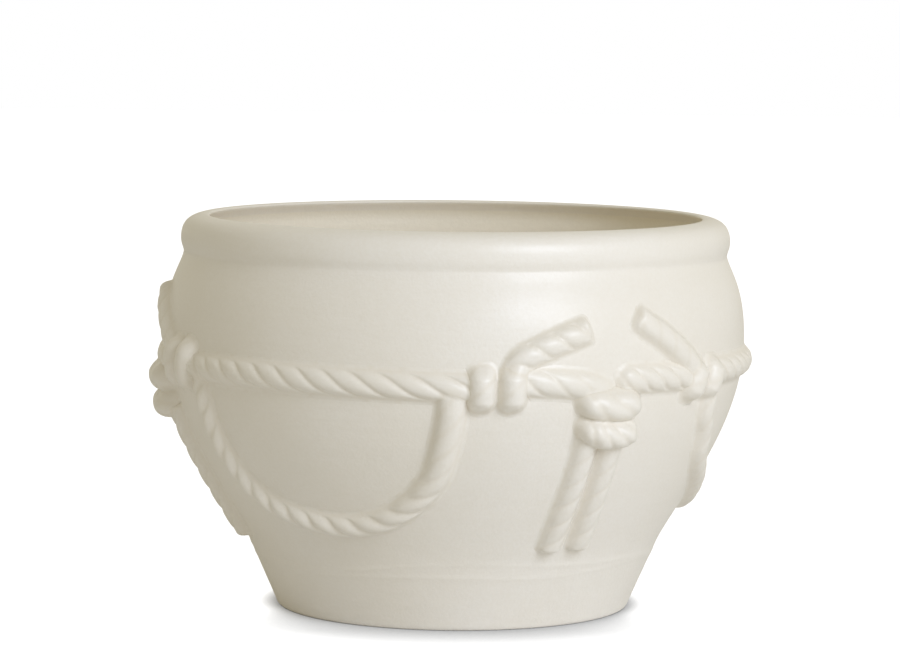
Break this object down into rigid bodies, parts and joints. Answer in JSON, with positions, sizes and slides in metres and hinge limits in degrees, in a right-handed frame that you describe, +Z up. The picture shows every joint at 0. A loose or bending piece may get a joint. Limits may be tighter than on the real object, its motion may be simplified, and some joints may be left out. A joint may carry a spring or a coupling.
{
  "type": "planter pot",
  "caption": "Round glazed planter pot with a rolled rim and tapered foot, ringed by a modelled cord belt with knots, swags and hanging cord ends in relief.",
  "frame": {"origin": "on the pot's axis, at the floor that its foot ring stands on", "axes": "+Z up along the pot's axis; -Y is the front that the picture shows, and +X is to the right of it"},
  "size_m": [0.352, 0.3555, 0.2276],
  "materials": {
    "glazed_body": "cream satin glaze",
    "glazed_relief": "cream satin glaze, thinner on the raised cords"
  },
  "bodies": {
    "root": {"pot_body": "glazed_body", "wrap_knot_left_1": "glazed_relief", "wrap_knot_right_1": "glazed_relief", "pendant_knot_1": "glazed_relief", "cord_end_left_1": "glazed_relief", "cord_end_right_1": "glazed_relief", "belt_long_1": "glazed_relief", "belt_left_1": "glazed_relief", "belt_right_1": "glazed_relief", "swag_cord_1": "glazed_relief", "hanging_cord_left_1": "glazed_relief", "hanging_cord_right_1": "glazed_relief", "wrap_knot_left_2": "glazed_relief", "wrap_knot_right_2": "glazed_relief", "pendant_knot_2": "glazed_relief", "cord_end_left_2": "glazed_relief", "cord_end_right_2": "glazed_relief", "belt_long_2": "glazed_relief", "belt_left_2": "glazed_relief", "belt_right_2": "glazed_relief", "swag_cord_2": "glazed_relief", "hanging_cord_left_2": "glazed_relief", "hanging_cord_right_2": "glazed_relief", "wrap_knot_left_3": "glazed_relief", "wrap_knot_right_3": "glazed_relief", "pendant_knot_3": "glazed_relief", "cord_end_left_3": "glazed_relief", "cord_end_right_3": "glazed_relief", "belt_long_3": "glazed_relief", "belt_left_3": "glazed_relief", "belt_right_3": "glazed_relief", "swag_cord_3": "glazed_relief", "hanging_cord_left_3": "glazed_relief", "hanging_cord_right_3": "glazed_relief"}
  },
  "joints": []
}
